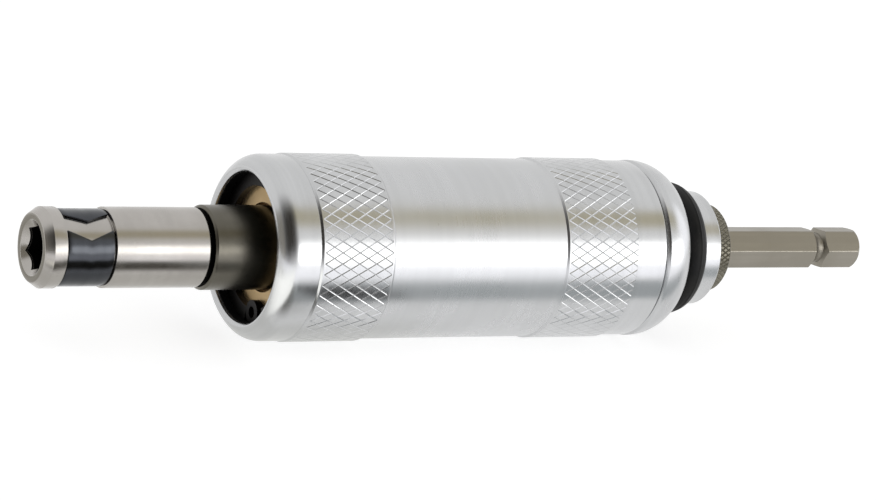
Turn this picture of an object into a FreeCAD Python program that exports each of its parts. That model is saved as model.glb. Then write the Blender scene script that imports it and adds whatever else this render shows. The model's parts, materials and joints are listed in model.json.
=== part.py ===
import FreeCAD, Part
import math
import os

# In-line torque driver: a power tool turns the hex drive shank at the rear, the
# barrel carries the torque to a sprung ring of balls, and the balls turn the
# output spindle and its bit holder until the set torque makes them ride out.
#
# Millimetres. The tool's axis is the X axis, with x = 0 at the bit holder's
# front face and +X towards the drive shank. The tool lies on its side, +Z up.
# An angle about the axis is 0 on the -Y side and 90 at the top.

V = FreeCAD.Vector
ORIGIN = V(0, 0, 0)
AXIS = V(1, 0, 0)

# ---- fits -----------------------------------------------------------------------
running_gap = 0.03          # radial, a turning fit
sliding_gap = 0.08          # radial, keyed parts that slide
seat_gap = 0.02             # radial, pieces that stay put in a bore
air_gap = 0.30              # radial, parts that must never rub
edge = 0.30                 # broken edge on turned parts

# ---- bit holder -----------------------------------------------------------------
hex_af = 6.35               # quarter-inch hex drive, across flats
socket_play = 0.10          # how much wider the socket is than the hex
socket_depth = 16.8
socket_turn = 27.0          # where one corner of the socket lies
countersink_raise = 0.58    # how far the countersink opens past the hex corners
nose_chamfer = 1.3          # length of the nose's chamfer
nose_taper = 0.88           # how much radius that chamfer takes off
collar_length = 3.4
holder_web = 1.5            # solid metal behind the socket
spigot_length = 9.0         # of the spindle's spigot in the holder
spigot_wall = 1.65          # wall of the holder around that spigot

# ---- bit ball and its spring band -------------------------------------------------
bit_ball_radius = 1.35
bit_ball_reach = 0.42       # how far the ball stands into the socket at rest
bit_ball_turn = 210.0       # from the socket's named corner to the ball, over a flat
band_thickness = 0.40
band_width = 7.5
band_side_gap = 0.25        # between the band and each wall of its groove
band_step = 0.28            # how far the band lies below the holder's surface
band_slack = 0.05           # between the band and what it wraps
band_joint_width = 3.3      # of the V-shaped joint between the strip's ends
band_joint_point = 1.65     # how deep the V is
band_joint_angle = 61.5     # where the joint lies about the axis

# ---- output spindle ---------------------------------------------------------------
spindle_radius = 6.625
relief_width = 0.6
relief_drop = 0.30          # of the relief below the holder's surface
spindle_reach = 7.3         # bare spindle in front of the barrel's mouth
detent_disc_length = 5.8
tail_radius = 4.0

# ---- barrel -----------------------------------------------------------------------
barrel_radius = 14.5
barrel_wall = 2.6
rim_raise = 0.18
rim_length = 6.6
rim_round = 3.15            # length of the mouth's rounded edge
rim_drop = 2.0              # how much radius that edge takes off
mouth_chamfer = 0.4
front_knurl_raise = 0.36
front_knurl_length = 13.1
rear_knurl_raise = 0.24
rear_knurl_length = 13.6
knurl_edge = 0.22
tail_plain_drop = 0.04
tail_plain_length = 5.4
seam = 0.45                 # each side of the V seam between barrel and end cap

# ---- front bearing ----------------------------------------------------------------
mouth_recess = 2.5          # from the mouth to the snap ring
snap_ring_thickness = 1.2
snap_ring_width = 2.2       # radial, inside the bore
snap_ring_bite = 0.7        # radial, into its groove
snap_ring_gap_angle = 257.0
snap_ring_lug_spread = 26.0  # from the gap's middle to each lug, degrees
lug_radius = 1.95
lug_inset = 1.65            # from the bore to the lug's middle
lug_hole_radius = 0.95
washer_thickness = 1.5
washer_bore_play = 0.4
bush_length = 8.2
thrust_washer_thickness = 1.0

# ---- clutch -----------------------------------------------------------------------
clutch_ball_count = 6
detents_per_ball = 2        # pockets in the disc for each ball in the plate
clutch_ball_radius = 2.0
detent_depth = 0.8          # how deep the balls sit in the spindle's disc
detent_play = 0.05          # radial, of a ball in its pocket in the disc
clutch_face_gap = 0.7       # between the disc and the pressure plate
plate_length = 6.0
key_count = 3
key_radius = 1.5
key_turn = 30.0
spring_washer_thickness = 1.0
clutch_lift = 0.85          # travel of the plate when the clutch slips

# ---- torque spring and its seat -----------------------------------------------------
spring_length = 21.4
spring_wire = 2.6
spring_turns = 4.5
seat_length = 8.0
seat_travel_in = 1.5        # towards more torque
seat_travel_out = 3.0       # towards less torque

# ---- adjusting screw ----------------------------------------------------------------
screw_wall = 1.97           # of its thread around the spindle's tail
screw_flange_raise = 2.0    # of its flange over the thread
screw_flange_length = 1.7
screw_head_length = 5.0
screw_key_af = 5.0
screw_web = 2.0             # solid metal between the tail's bore and the key socket
screw_ring_section = 0.5    # radius of its friction ring's section
screw_washer_thickness = 0.8
screw_clip_thickness = 0.8
screw_clip_bite = 0.6
screw_end_play = 0.1

# ---- end cap ------------------------------------------------------------------------
cap_spigot_length = 9.95
cap_spigot_gap = 0.1        # between its front and the barrel's inner step
cap_thread_step = 0.4       # of the barrel's rear thread over its bore
cap_raise = 0.08
cap_land = 0.4
cap_shoulder_length = 4.5
cap_shoulder_radius = 6.6
cap_hub_length = 1.85
cap_flange_length = 3.2
cap_ring_play = 0.05        # each side of the sealing ring in its groove
cap_ring_section = 1.75     # radius of the sealing ring's section
cap_core_wall = 2.45        # from the shank's thread to the sealing ring's groove
cap_hub_raise = 1.7
cap_flange_raise = 2.0

# ---- drive shank ----------------------------------------------------------------------
shank_length = 30.05        # of the bare hex
shank_turn = 8.0            # where one of its corners lies
shank_stud_raise = 1.33     # of its thread over the hex corners
shank_stud_length = 11.25   # inside the end cap
shank_end_round = 1.3
shank_end_taper = 0.75
groove_from_end = 6.7       # from the steep wall of the bit groove to the end
groove_length = 3.0
groove_floor_length = 0.5
groove_depth = 0.6          # below the flats
lock_ring_length = 3.4
lock_ring_wall = 2.3
lock_ring_recess = 0.2      # of the stud's end in the ring

# ---- sizes that follow: radii -----------------------------------------------------------
hex_corner = hex_af / math.sqrt(3)
socket_af = hex_af + socket_play
socket_corner = socket_af / math.sqrt(3)
bit_ball_centre = socket_af / 2 - bit_ball_reach + bit_ball_radius
band_inner = bit_ball_centre + bit_ball_radius + band_slack
band_outer = band_inner + band_thickness
band_floor = band_inner - band_slack
holder_radius = band_outer + band_step
relief_radius = holder_radius - relief_drop
spigot_radius = holder_radius - spigot_wall
rim_radius = barrel_radius + rim_raise
front_knurl_radius = barrel_radius + front_knurl_raise
rear_knurl_radius = barrel_radius + rear_knurl_raise
tail_plain_radius = barrel_radius - tail_plain_drop
bore_radius = barrel_radius - barrel_wall
key_inner = bore_radius - key_radius
guide_radius = bore_radius - air_gap
plate_bore = tail_radius + air_gap
ball_pitch_radius = (plate_bore + key_inner - sliding_gap) / 2
screw_bore = tail_radius + running_gap
screw_radius = screw_bore + screw_wall
spring_outer = key_inner - air_gap
screw_flange_radius = screw_radius + screw_flange_raise
cap_thread_radius = bore_radius + cap_thread_step
cap_radius = barrel_radius + cap_raise
stud_radius = hex_corner + shank_stud_raise
cap_bore = stud_radius + running_gap
ring_groove_radius = cap_bore + cap_core_wall
cap_recess_radius = screw_flange_radius + air_gap

# ---- sizes that follow: places along the axis ---------------------------------------------
band_groove_front = collar_length
band_groove_rear = band_groove_front + band_width + 2 * band_side_gap
bit_ball_x = (band_groove_front + band_groove_rear) / 2
spigot_front = socket_depth + holder_web
holder_rear = spigot_front + spigot_length
spindle_front = holder_rear + relief_width
mouth = spindle_front + spindle_reach
snap_ring_front = mouth + mouth_recess
snap_ring_rear = snap_ring_front + snap_ring_thickness
bush_front = snap_ring_rear + washer_thickness
bush_rear = bush_front + bush_length
disc_front = bush_rear + thrust_washer_thickness
disc_rear = disc_front + detent_disc_length
clutch_ball_x = disc_rear - detent_depth + clutch_ball_radius
plate_front = disc_rear + clutch_face_gap
plate_rear = plate_front + plate_length
key_front = disc_rear + air_gap
spring_front = plate_rear + spring_washer_thickness
seat_front = spring_front + spring_length
seat_rear = seat_front + seat_length
cap_front = seat_rear + seat_travel_out + air_gap
barrel_rear = cap_front + cap_spigot_length
screw_front = seat_front - seat_travel_in
clip_front = cap_front + air_gap
flange_front = clip_front + screw_clip_thickness + screw_end_play
flange_rear = flange_front + screw_flange_length
cap_recess_end = flange_rear + screw_washer_thickness
screw_rear = cap_recess_end + screw_head_length
key_socket_front = screw_rear - screw_head_length
tail_rear = key_socket_front - screw_web - air_gap
cap_land_rear = barrel_rear + seam + cap_land
cap_shoulder_rear = cap_land_rear + cap_shoulder_length
ring_groove_front = cap_shoulder_rear + cap_hub_length
ring_groove_rear = ring_groove_front + 2 * (cap_ring_section + cap_ring_play)
cap_rear = ring_groove_rear + cap_flange_length
lock_ring_rear = cap_rear + lock_ring_length
shank_front = lock_ring_rear - lock_ring_recess
shank_rear = shank_front + shank_length


# ---- drawing helpers --------------------------------------------------------------------
def turned(*path):
    """A solid turned about the tool's axis. Each step of the closed outline is a corner
    (x, radius), or a pair of such points: an arc through the first to the second."""
    edges = []
    here = V(*path[-1], 0)
    for step in path:
        if isinstance(step[0], tuple):
            end = V(*step[1], 0)
            edges.append(Part.Arc(here, V(*step[0], 0), end).toShape())
        else:
            end = V(*step, 0)
            edges.append(Part.makeLine(here, end))
        here = end
    return Part.Face(Part.Wire(edges)).revolve(ORIGIN, AXIS, 360)


def bar(front, rear, radius, bevel=0.0):
    """A round bar on the axis with bevelled ends."""
    return turned(
        (front, 0),
        *([(front, radius - bevel), (front + bevel, radius)] if bevel else [(front, radius)]),
        *([(rear - bevel, radius), (rear, radius - bevel)] if bevel else [(rear, radius)]),
        (rear, 0),
    )


def ring(front, rear, inner, outer, bevel=0.0):
    """A round ring on the axis, bevelled on its outer edges."""
    return bar(front, rear, outer, bevel).cut(bar(front - 1, rear + 1, inner))


def halfway_bend(run, rise):
    """Halfway along an arc that leaves a line smoothly and ends that far along the line
    and away from it: how far along, and how far away."""
    radius = (run**2 + rise**2) / (2 * rise)
    half_turn = math.asin(run / radius) / 2
    return radius * math.sin(half_turn), radius * (1 - math.cos(half_turn))


def around(angle, radius, x=0.0):
    """The point at an angle about the axis, 0 on the -Y side and 90 at the top."""
    turn = math.radians(angle)
    return V(x, -radius * math.cos(turn), radius * math.sin(turn))


def hexagon(front, rear, across_flats, corner_angle):
    """A hexagonal bar on the axis with one corner at the angle."""
    corner = across_flats / math.sqrt(3)
    corners = [around(corner_angle + 60 * k, corner, front) for k in range(7)]
    return Part.Face(Part.makePolygon(corners)).extrude(V(rear - front, 0, 0))


def torus(x, ring_radius, section):
    """A ring of round section about the axis."""
    return Part.makeTorus(ring_radius, section, V(x, 0, 0), AXIS)


def fused(first, *others):
    """One clean solid from several that meet."""
    return first.multiFuse(list(others)).removeSplitter()


# ---- bit holder and spindle ---------------------------------------------------------------
def bit_holder():
    nose_radius = holder_radius - nose_taper
    body = turned(
        (0, 0),
        (0, nose_radius),
        (nose_chamfer, holder_radius),
        (band_groove_front, holder_radius),
        (band_groove_front, band_floor),
        (band_groove_rear, band_floor),
        (band_groove_rear, holder_radius),
        (holder_rear - edge, holder_radius),
        (holder_rear, holder_radius - edge),
        (holder_rear, 0),
    )
    mouth_radius = socket_corner + countersink_raise
    cone = turned((-1, 0), (-1, mouth_radius + 1), (mouth_radius, 0))
    socket = hexagon(-1, socket_depth, socket_af, socket_turn)
    drill_point = turned(
        (socket_depth - 1, 0),
        (socket_depth - 1, socket_af / 2 - edge),
        (socket_depth, socket_af / 2 - edge),
        (socket_depth + holder_web / 2, 0),
    )
    spigot_hole = bar(spigot_front, holder_rear + 1, spigot_radius + seat_gap)
    ball_hole = Part.makeCylinder(
        bit_ball_radius + running_gap, holder_radius, V(bit_ball_x, 0, 0), bit_ball_way
    )
    return body.cut([cone, socket, drill_point, spigot_hole, ball_hole])


def retaining_band():
    front = bit_ball_x - band_width / 2
    rear = bit_ball_x + band_width / 2
    strip = ring(front, rear, band_inner, band_outer)
    out = around(band_joint_angle, 1)
    up = around(band_joint_angle + 90, 1)
    half = band_joint_width / 2
    outline = [
        (front - band_side_gap, half),
        (bit_ball_x, half - band_joint_point),
        (rear + band_side_gap, half),
        (rear + band_side_gap, -half),
        (bit_ball_x, -half - band_joint_point),
        (front - band_side_gap, -half),
        (front - band_side_gap, half),
    ]
    corners = [V(x, 0, 0) + up * side for x, side in outline]
    joint = Part.Face(Part.makePolygon(corners)).extrude(out * holder_radius)
    return strip.cut(joint)


def bit_retaining_ball():
    return Part.makeSphere(bit_ball_radius, V(bit_ball_x, 0, 0) + bit_ball_way * bit_ball_centre)


def output_spindle():
    disc_radius = guide_radius
    body = turned(
        (spigot_front + air_gap, 0),
        (spigot_front + air_gap, spigot_radius),
        (holder_rear, spigot_radius),
        (holder_rear, relief_radius),
        (spindle_front, relief_radius),
        (spindle_front, spindle_radius - edge),
        (spindle_front + edge, spindle_radius),
        (disc_front, spindle_radius),
        (disc_front, disc_radius),
        (disc_rear, disc_radius),
        (disc_rear, tail_radius),
        (tail_rear - edge, tail_radius),
        (tail_rear, tail_radius - edge),
        (tail_rear, 0),
    )
    detent = clutch_ball_radius + detent_play
    return body.cut([Part.makeSphere(detent, place) for place in detent_places])


# ---- barrel and what its mouth holds --------------------------------------------------------
def barrel():
    lip = rim_radius - rim_drop
    round_end = mouth + rim_round
    back, away = halfway_bend(rim_round, rim_drop)
    crown = (round_end - back, rim_radius - away)
    first_knurl = mouth + rim_length
    first_end = first_knurl + front_knurl_length
    plain_end = barrel_rear - seam - tail_plain_length
    second_knurl = plain_end - rear_knurl_length
    thread_front = cap_front - cap_spigot_gap
    outside = turned(
        (mouth, 0),
        (mouth, lip),
        (crown, (round_end, rim_radius)),
        (first_knurl, rim_radius),
        (first_knurl + knurl_edge, front_knurl_radius),
        (first_end - knurl_edge, front_knurl_radius),
        (first_end, barrel_radius),
        (second_knurl, barrel_radius),
        (second_knurl + knurl_edge, rear_knurl_radius),
        (plain_end - knurl_edge, rear_knurl_radius),
        (plain_end, tail_plain_radius),
        (barrel_rear - seam, tail_plain_radius),
        (barrel_rear, tail_plain_radius - seam),
        (barrel_rear, 0),
    )
    inside = turned(
        (mouth - 1, 0),
        (mouth - 1, bore_radius + mouth_chamfer + 1),
        (mouth + mouth_chamfer, bore_radius),
        (snap_ring_front - seat_gap, bore_radius),
        (snap_ring_front - seat_gap, bore_radius + snap_ring_bite + seat_gap),
        (snap_ring_rear, bore_radius + snap_ring_bite + seat_gap),
        (snap_ring_rear, bore_radius),
        (thread_front, bore_radius),
        (thread_front, cap_thread_radius),
        (barrel_rear + 1, cap_thread_radius),
        (barrel_rear + 1, 0),
    )
    return outside.cut([inside] + key_slots(key_front - seat_gap, thread_front + 1, seat_gap))


def front_snap_ring():
    """The open spring ring with two eyed lugs that holds the front bearing in."""
    outer = bore_radius + snap_ring_bite
    lug_pitch = bore_radius - lug_inset
    half_gap = snap_ring_lug_spread - math.degrees(math.asin(lug_radius / lug_pitch))
    clip = ring(snap_ring_front, snap_ring_rear, bore_radius - snap_ring_width, outer)
    clip = clip.cut(wedge(snap_ring_front, snap_ring_rear, snap_ring_gap_angle, half_gap, outer))
    lugs = []
    eyes = []
    for side in (-1, 1):
        angle = snap_ring_gap_angle + side * snap_ring_lug_spread
        place = around(angle, lug_pitch, snap_ring_front)
        lugs.append(Part.makeCylinder(lug_radius, snap_ring_thickness, place, AXIS))
        eyes.append(Part.makeCylinder(lug_hole_radius, snap_ring_thickness, place, AXIS))
    return fused(clip, *lugs).cut(eyes)


def front_washer():
    return ring(snap_ring_rear, bush_front, spindle_radius + washer_bore_play, bore_radius - seat_gap)


def front_bush():
    return ring(bush_front, bush_rear, spindle_radius + running_gap, bore_radius - seat_gap, edge)


def thrust_washer():
    return ring(bush_rear, disc_front, spindle_radius + air_gap, guide_radius, edge)


def drive_key(number):
    place = around(key_angles[number], bore_radius, key_front)
    return Part.makeCylinder(key_radius, cap_front - key_front, place, AXIS)


# ---- sprung clutch ------------------------------------------------------------------------------
def clutch_ball(number):
    return Part.makeSphere(clutch_ball_radius, clutch_ball_places[number])


def pressure_plate():
    body = ring(plate_front, plate_rear, plate_bore, guide_radius, edge)
    pocket = clutch_ball_radius + running_gap
    cuts = key_slots(plate_front - 1, plate_rear + 1, sliding_gap)
    for place in clutch_ball_places:
        cuts.append(Part.makeSphere(pocket, place))
        cuts.append(Part.makeCylinder(pocket, clutch_ball_radius, place, -AXIS))
    return body.cut(cuts)


def spring_washer():
    return ring(plate_rear, spring_front, plate_bore, spring_outer, edge)


def torque_spring():
    """A coil spring whose end turns are ground flat on its two seats."""
    mean = spring_outer - spring_wire / 2
    pitch = (spring_length - spring_wire) / spring_turns
    lead = pitch / 2
    wire_start = V(mean, 0, 0)
    helix = Part.makeHelix(pitch, spring_length + 2 * lead, mean)
    across = Part.makeCircle(spring_wire / 2, wire_start, V(0, 2 * math.pi * mean, pitch))
    coil = Part.Wire(helix.Edges).makePipeShell([Part.Wire(across)], True, True)
    coil.rotate(ORIGIN, V(0, 1, 0), 90)
    coil.translate(V(spring_front - lead, 0, 0))
    return coil.common(bar(spring_front, seat_front, bore_radius))


def spring_seat():
    body = ring(seat_front, seat_rear, screw_radius + running_gap, guide_radius, edge)
    return body.cut(key_slots(seat_front - 1, seat_rear + 1, sliding_gap))


def adjusting_screw():
    groove_middle = cap_recess_end + screw_head_length / 2
    groove_half = screw_ring_section + seat_gap
    groove_floor = stud_radius - 2 * screw_ring_section - seat_gap
    body = turned(
        (screw_front, screw_bore),
        (screw_front, screw_radius - edge),
        (screw_front + edge, screw_radius),
        (flange_front, screw_radius),
        (flange_front, screw_flange_radius),
        (flange_rear, screw_flange_radius),
        (flange_rear, stud_radius),
        (groove_middle - groove_half, stud_radius),
        (groove_middle - groove_half, groove_floor),
        (groove_middle + groove_half, groove_floor),
        (groove_middle + groove_half, stud_radius),
        (screw_rear - edge, stud_radius),
        (screw_rear, stud_radius - edge),
        (screw_rear, 0),
        (key_socket_front - screw_web, 0),
        (key_socket_front - screw_web, screw_bore),
    )
    return body.cut(hexagon(key_socket_front, screw_rear + 1, screw_key_af, key_turn))


def adjuster_friction_ring():
    middle = cap_recess_end + screw_head_length / 2
    return torus(middle, stud_radius - screw_ring_section, screw_ring_section)


def adjuster_snap_ring():
    front = clip_front
    rear = clip_front + screw_clip_thickness
    outer = cap_recess_radius + screw_clip_bite
    clip = ring(front, rear, screw_radius + air_gap, outer)
    return clip.cut(wedge(front, rear, snap_ring_gap_angle, snap_ring_lug_spread, outer))


def adjuster_washer():
    return ring(flange_rear, cap_recess_end, stud_radius + air_gap, cap_recess_radius - seat_gap)


# ---- end cap and drive shank ----------------------------------------------------------------------
def end_cap():
    spigot = cap_thread_radius - seat_gap
    hub = ring_groove_radius + cap_hub_raise
    flange = ring_groove_radius + cap_flange_raise
    drop = cap_shoulder_radius - math.sqrt(cap_shoulder_radius**2 - cap_shoulder_length**2)
    along, away = halfway_bend(cap_shoulder_length, drop)
    outside = turned(
        (cap_front, 0),
        (cap_front, spigot - edge),
        (cap_front + edge, spigot),
        (barrel_rear, spigot),
        (barrel_rear, cap_radius - seam),
        (barrel_rear + seam, cap_radius),
        (cap_land_rear, cap_radius),
        ((cap_land_rear + along, cap_radius - away), (cap_shoulder_rear, cap_radius - drop)),
        (cap_shoulder_rear, hub),
        (ring_groove_front, hub),
        (ring_groove_front, ring_groove_radius),
        (ring_groove_rear, ring_groove_radius),
        (ring_groove_rear, flange),
        (cap_rear - edge, flange),
        (cap_rear, flange - edge),
        (cap_rear, 0),
    )
    clip_rear = clip_front + screw_clip_thickness + seat_gap
    clip_groove = cap_recess_radius + screw_clip_bite + seat_gap
    inside = turned(
        (cap_front - 1, 0),
        (cap_front - 1, cap_recess_radius),
        (clip_front - seat_gap, cap_recess_radius),
        (clip_front - seat_gap, clip_groove),
        (clip_rear, clip_groove),
        (clip_rear, cap_recess_radius),
        (cap_recess_end, cap_recess_radius),
        (cap_recess_end, cap_bore),
        (cap_rear + 1, cap_bore),
        (cap_rear + 1, 0),
    )
    return outside.cut(inside)


def cap_sealing_ring():
    middle = (ring_groove_front + ring_groove_rear) / 2
    return torus(middle, ring_groove_radius + seat_gap + cap_ring_section, cap_ring_section)


def shank_lock_ring():
    return ring(cap_rear, lock_ring_rear, stud_radius + seat_gap, stud_radius + lock_ring_wall, edge)


def drive_shank():
    stud_front = cap_rear - shank_stud_length
    stud = bar(stud_front, shank_front, stud_radius, edge)
    outline = turned(
        (shank_front - 1, 0),
        (shank_front - 1, hex_corner + 1),
        (shank_rear - shank_end_round, hex_corner + 1),
        (shank_rear - shank_end_round, hex_corner),
        (
            (shank_rear - shank_end_round * (1 - math.sqrt(0.5)), hex_corner - shank_end_taper * 0.3),
            (shank_rear, hex_corner - shank_end_taper),
        ),
        (shank_rear, 0),
    )
    hex_bar = hexagon(shank_front - 1, shank_rear, hex_af, shank_turn).common(outline)
    return fused(stud, hex_bar).cut(bit_groove())


def bit_groove():
    """The ring cut round the hex near its end: a long curved flank, then a steep wall."""
    floor = hex_af / 2 - groove_depth
    top = hex_corner + edge
    wall_top = shank_rear - groove_from_end
    front = wall_top - groove_length
    rise = top - floor
    floor_rear = wall_top - rise / 2
    floor_front = floor_rear - groove_floor_length
    back, away = halfway_bend(floor_front - front, rise)
    return turned(
        (front, top + 1),
        (front, top),
        ((floor_front - back, floor + away), (floor_front, floor)),
        (floor_rear, floor),
        (wall_top, top),
        (wall_top, top + 1),
    )


# ---- patterns and the parts themselves ---------------------------------------------------------------
def wedge(front, rear, angle, half_angle, reach):
    """A sector about the axis, wide enough to cut a ring of that reach open."""
    corners = [
        V(front, 0, 0),
        around(angle - half_angle, 2 * reach, front),
        around(angle + half_angle, 2 * reach, front),
        V(front, 0, 0),
    ]
    return Part.Face(Part.makePolygon(corners)).extrude(V(rear - front, 0, 0))


def key_slots(front, rear, gap):
    """The round slots that the drive keys lie in."""
    return [
        Part.makeCylinder(key_radius + gap, rear - front, around(angle, bore_radius, front), AXIS)
        for angle in key_angles
    ]


bit_ball_way = around(socket_turn + bit_ball_turn, 1)
key_angles = [key_turn + 360 / key_count * k for k in range(key_count)]
detent_count = clutch_ball_count * detents_per_ball
detent_places = [
    around(360 / detent_count * k, ball_pitch_radius, clutch_ball_x) for k in range(detent_count)
]
clutch_ball_places = detent_places[::detents_per_ball]

parts = {
    "bit_holder": bit_holder(),
    "retaining_band": retaining_band(),
    "bit_retaining_ball": bit_retaining_ball(),
    "output_spindle": output_spindle(),
    "barrel": barrel(),
    "front_snap_ring": front_snap_ring(),
    "front_washer": front_washer(),
    "front_bush": front_bush(),
    "thrust_washer": thrust_washer(),
    "pressure_plate": pressure_plate(),
    "spring_washer": spring_washer(),
    "torque_spring": torque_spring(),
    "spring_seat": spring_seat(),
    "adjusting_screw": adjusting_screw(),
    "adjuster_friction_ring": adjuster_friction_ring(),
    "adjuster_snap_ring": adjuster_snap_ring(),
    "adjuster_washer": adjuster_washer(),
    "end_cap": end_cap(),
    "cap_sealing_ring": cap_sealing_ring(),
    "shank_lock_ring": shank_lock_ring(),
    "drive_shank": drive_shank(),
}
for number in range(key_count):
    parts[f"drive_key_{number + 1}"] = drive_key(number)
for number in range(clutch_ball_count):
    parts[f"clutch_ball_{number + 1}"] = clutch_ball(number)

os.makedirs("parts", exist_ok=True)
for name, shape in parts.items():
    shape.exportStep(f"parts/{name}.step")
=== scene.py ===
"""Looks of the in-line torque driver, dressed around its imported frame.

The tool lies on its side along the X axis, with x = 0 at the bit holder's front face and
+X towards the drive shank. Sizes in the classes are millimetres, and angles are degrees
about the tool's axis: 0 faces the -Y side and 90 is the top.
"""
import json
import logging
import math
from contextlib import contextmanager
from dataclasses import dataclass
from enum import Enum
from functools import cache, cached_property
from itertools import pairwise
from typing import Callable, Iterator, Optional, Sequence, Union

import bmesh
import bpy
from mathutils import Euler, Matrix, Vector


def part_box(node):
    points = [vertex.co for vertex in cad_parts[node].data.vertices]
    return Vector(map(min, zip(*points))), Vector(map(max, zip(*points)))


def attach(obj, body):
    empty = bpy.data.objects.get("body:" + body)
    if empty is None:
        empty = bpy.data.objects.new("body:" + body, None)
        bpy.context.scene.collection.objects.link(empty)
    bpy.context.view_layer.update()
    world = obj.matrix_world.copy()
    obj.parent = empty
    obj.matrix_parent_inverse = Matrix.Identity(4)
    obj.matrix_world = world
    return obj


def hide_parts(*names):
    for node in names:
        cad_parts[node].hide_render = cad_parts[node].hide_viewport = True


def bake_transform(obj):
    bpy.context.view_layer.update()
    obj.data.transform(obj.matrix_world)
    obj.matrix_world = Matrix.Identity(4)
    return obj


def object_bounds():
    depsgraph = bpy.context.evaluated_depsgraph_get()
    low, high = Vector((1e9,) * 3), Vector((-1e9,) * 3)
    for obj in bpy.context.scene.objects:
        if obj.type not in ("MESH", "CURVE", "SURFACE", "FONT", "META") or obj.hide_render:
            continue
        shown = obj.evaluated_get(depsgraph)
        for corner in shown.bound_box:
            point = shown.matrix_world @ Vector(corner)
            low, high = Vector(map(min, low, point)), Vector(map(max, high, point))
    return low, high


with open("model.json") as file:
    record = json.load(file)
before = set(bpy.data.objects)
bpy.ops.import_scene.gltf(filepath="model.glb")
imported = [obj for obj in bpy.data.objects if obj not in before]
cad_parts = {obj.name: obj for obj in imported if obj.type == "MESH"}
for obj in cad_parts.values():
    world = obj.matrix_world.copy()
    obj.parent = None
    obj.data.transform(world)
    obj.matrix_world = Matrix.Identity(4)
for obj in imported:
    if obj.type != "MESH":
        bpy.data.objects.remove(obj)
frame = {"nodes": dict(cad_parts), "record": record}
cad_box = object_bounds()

log = logging.getLogger("torque_driver")

MM = 0.001
Point = tuple[float, float]
Outline = list[Point]
Color = Place = tuple[float, float, float]
Piece = bpy.types.Object
Node = bpy.types.Node
Socket = bpy.types.NodeSocket
Value = Union[float, Socket]
Look = Union[Color, Socket]

FINE_SEGMENTS = 216
SMALL_SEGMENTS = 144
ALONG = Vector((1, 0, 0))
EDGE = 0.3        # broken edge on turned parts
FIT = 0.02        # between pieces that stay put in each other
MERGE = 0.002     # vertices that are closer than this are one


# ---- bench work: selecting, turning, wrapping, cutting ---------------------------------
def deselect() -> None:
    """Leaves nothing selected, so that an operator acts on the new piece alone."""
    bpy.ops.object.select_all(action="DESELECT")


def pick(*pieces: Piece) -> None:
    """Selects some pieces and nothing else.

    Args:
        pieces: What to select. The first one becomes active.
    """
    deselect()
    for piece in pieces:
        piece.select_set(True)
    bpy.context.view_layer.objects.active = pieces[0]


@contextmanager
def editing(piece: Piece) -> Iterator[bmesh.types.BMesh]:
    """Opens a piece in edit mode with all of it selected.

    Args:
        piece: The piece to edit.

    Returns:
        Its mesh, to choose vertices, edges or faces from.
    """
    pick(piece)
    bpy.ops.object.mode_set(mode="EDIT")
    bpy.ops.mesh.select_all(action="SELECT")
    yield bmesh.from_edit_mesh(piece.data)
    bpy.ops.object.mode_set(mode="OBJECT")


def choose(piece: Piece, elements: Sequence, test: Callable) -> None:
    """Selects, in edit mode, only what passes a test.

    Args:
        piece: The piece that is being edited.
        elements: Its vertices, edges or faces.
        test: Says whether an element is wanted.
    """
    bpy.ops.mesh.select_all(action="DESELECT")
    for element in elements:
        if test(element):
            element.select_set(True)
    bmesh.update_edit_mesh(piece.data)


def settle(piece: Piece) -> None:
    """Puts the piece's place into its mesh, with its object at the origin."""
    pick(piece)
    bpy.ops.object.transform_apply(location=True, rotation=True, scale=True)


def modify(piece: Piece, kind: str, **settings) -> None:
    """Adds a modifier and applies it.

    Args:
        piece: The piece to change.
        kind: The modifier's type.
        settings: The modifier's own settings.
    """
    pick(piece)
    modifier = piece.modifiers.new(kind.lower(), kind)
    for key, value in settings.items():
        setattr(modifier, key, value)
    bpy.ops.object.modifier_apply(modifier=modifier.name)


def shaped(kind: str, name: str, **settings) -> Piece:
    """Adds one of the basic shapes, with its place and its turn in its mesh.

    Args:
        kind: The shape, as its operator names it.
        name: The piece's name.
        settings: The shape's own sizes, place and turn.

    Returns:
        The new piece.
    """
    deselect()
    getattr(bpy.ops.mesh, f"primitive_{kind}_add")(**settings)
    piece = bpy.context.object
    piece.name = piece.data.name = name
    settle(piece)
    return piece


def turned(name: str, outline: Outline, segments: int = FINE_SEGMENTS) -> Piece:
    """Turns a piece about the tool's axis: a circle extruded from station to station.

    Args:
        name: The piece's name.
        outline: Stations (x, radius). A closed outline ends where it starts.
        segments: How many faces lie round the piece.

    Returns:
        The turned piece, open at its ends if the outline is open.
    """
    x, radius = outline[0]
    piece = shaped(
        "circle", name, vertices=segments, radius=radius * MM,
        location=(x * MM, 0, 0), rotation=(0, math.pi / 2, 0),
    )
    with editing(piece):
        for (x, radius), (next_x, next_radius) in pairwise(outline):
            bpy.ops.mesh.extrude_edges_move(
                TRANSFORM_OT_translate={"value": ((next_x - x) * MM, 0, 0)}
            )
            ratio = next_radius / radius
            bpy.ops.transform.resize(
                value=(1, ratio, ratio), center_override=(next_x * MM, 0, 0)
            )
    weld(piece)
    return piece


def weld(piece: Piece) -> None:
    """Merges the vertices that meet and turns every face outwards.

    Args:
        piece: The piece to close up.
    """
    with editing(piece):
        bpy.ops.mesh.remove_doubles(threshold=MERGE * MM)
        bpy.ops.mesh.select_all(action="SELECT")
        bpy.ops.mesh.normals_make_consistent(inside=False)


def close_ends(piece: Piece) -> None:
    """Fills each open end with a flat face.

    Args:
        piece: The piece to close.
    """
    with editing(piece):
        bpy.ops.mesh.select_all(action="DESELECT")
        bpy.ops.mesh.select_mode(type="EDGE")
        bpy.ops.mesh.select_non_manifold()
        bpy.ops.mesh.fill_holes(sides=0)
        bpy.ops.mesh.select_mode(type="VERT")
    weld(piece)


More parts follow.
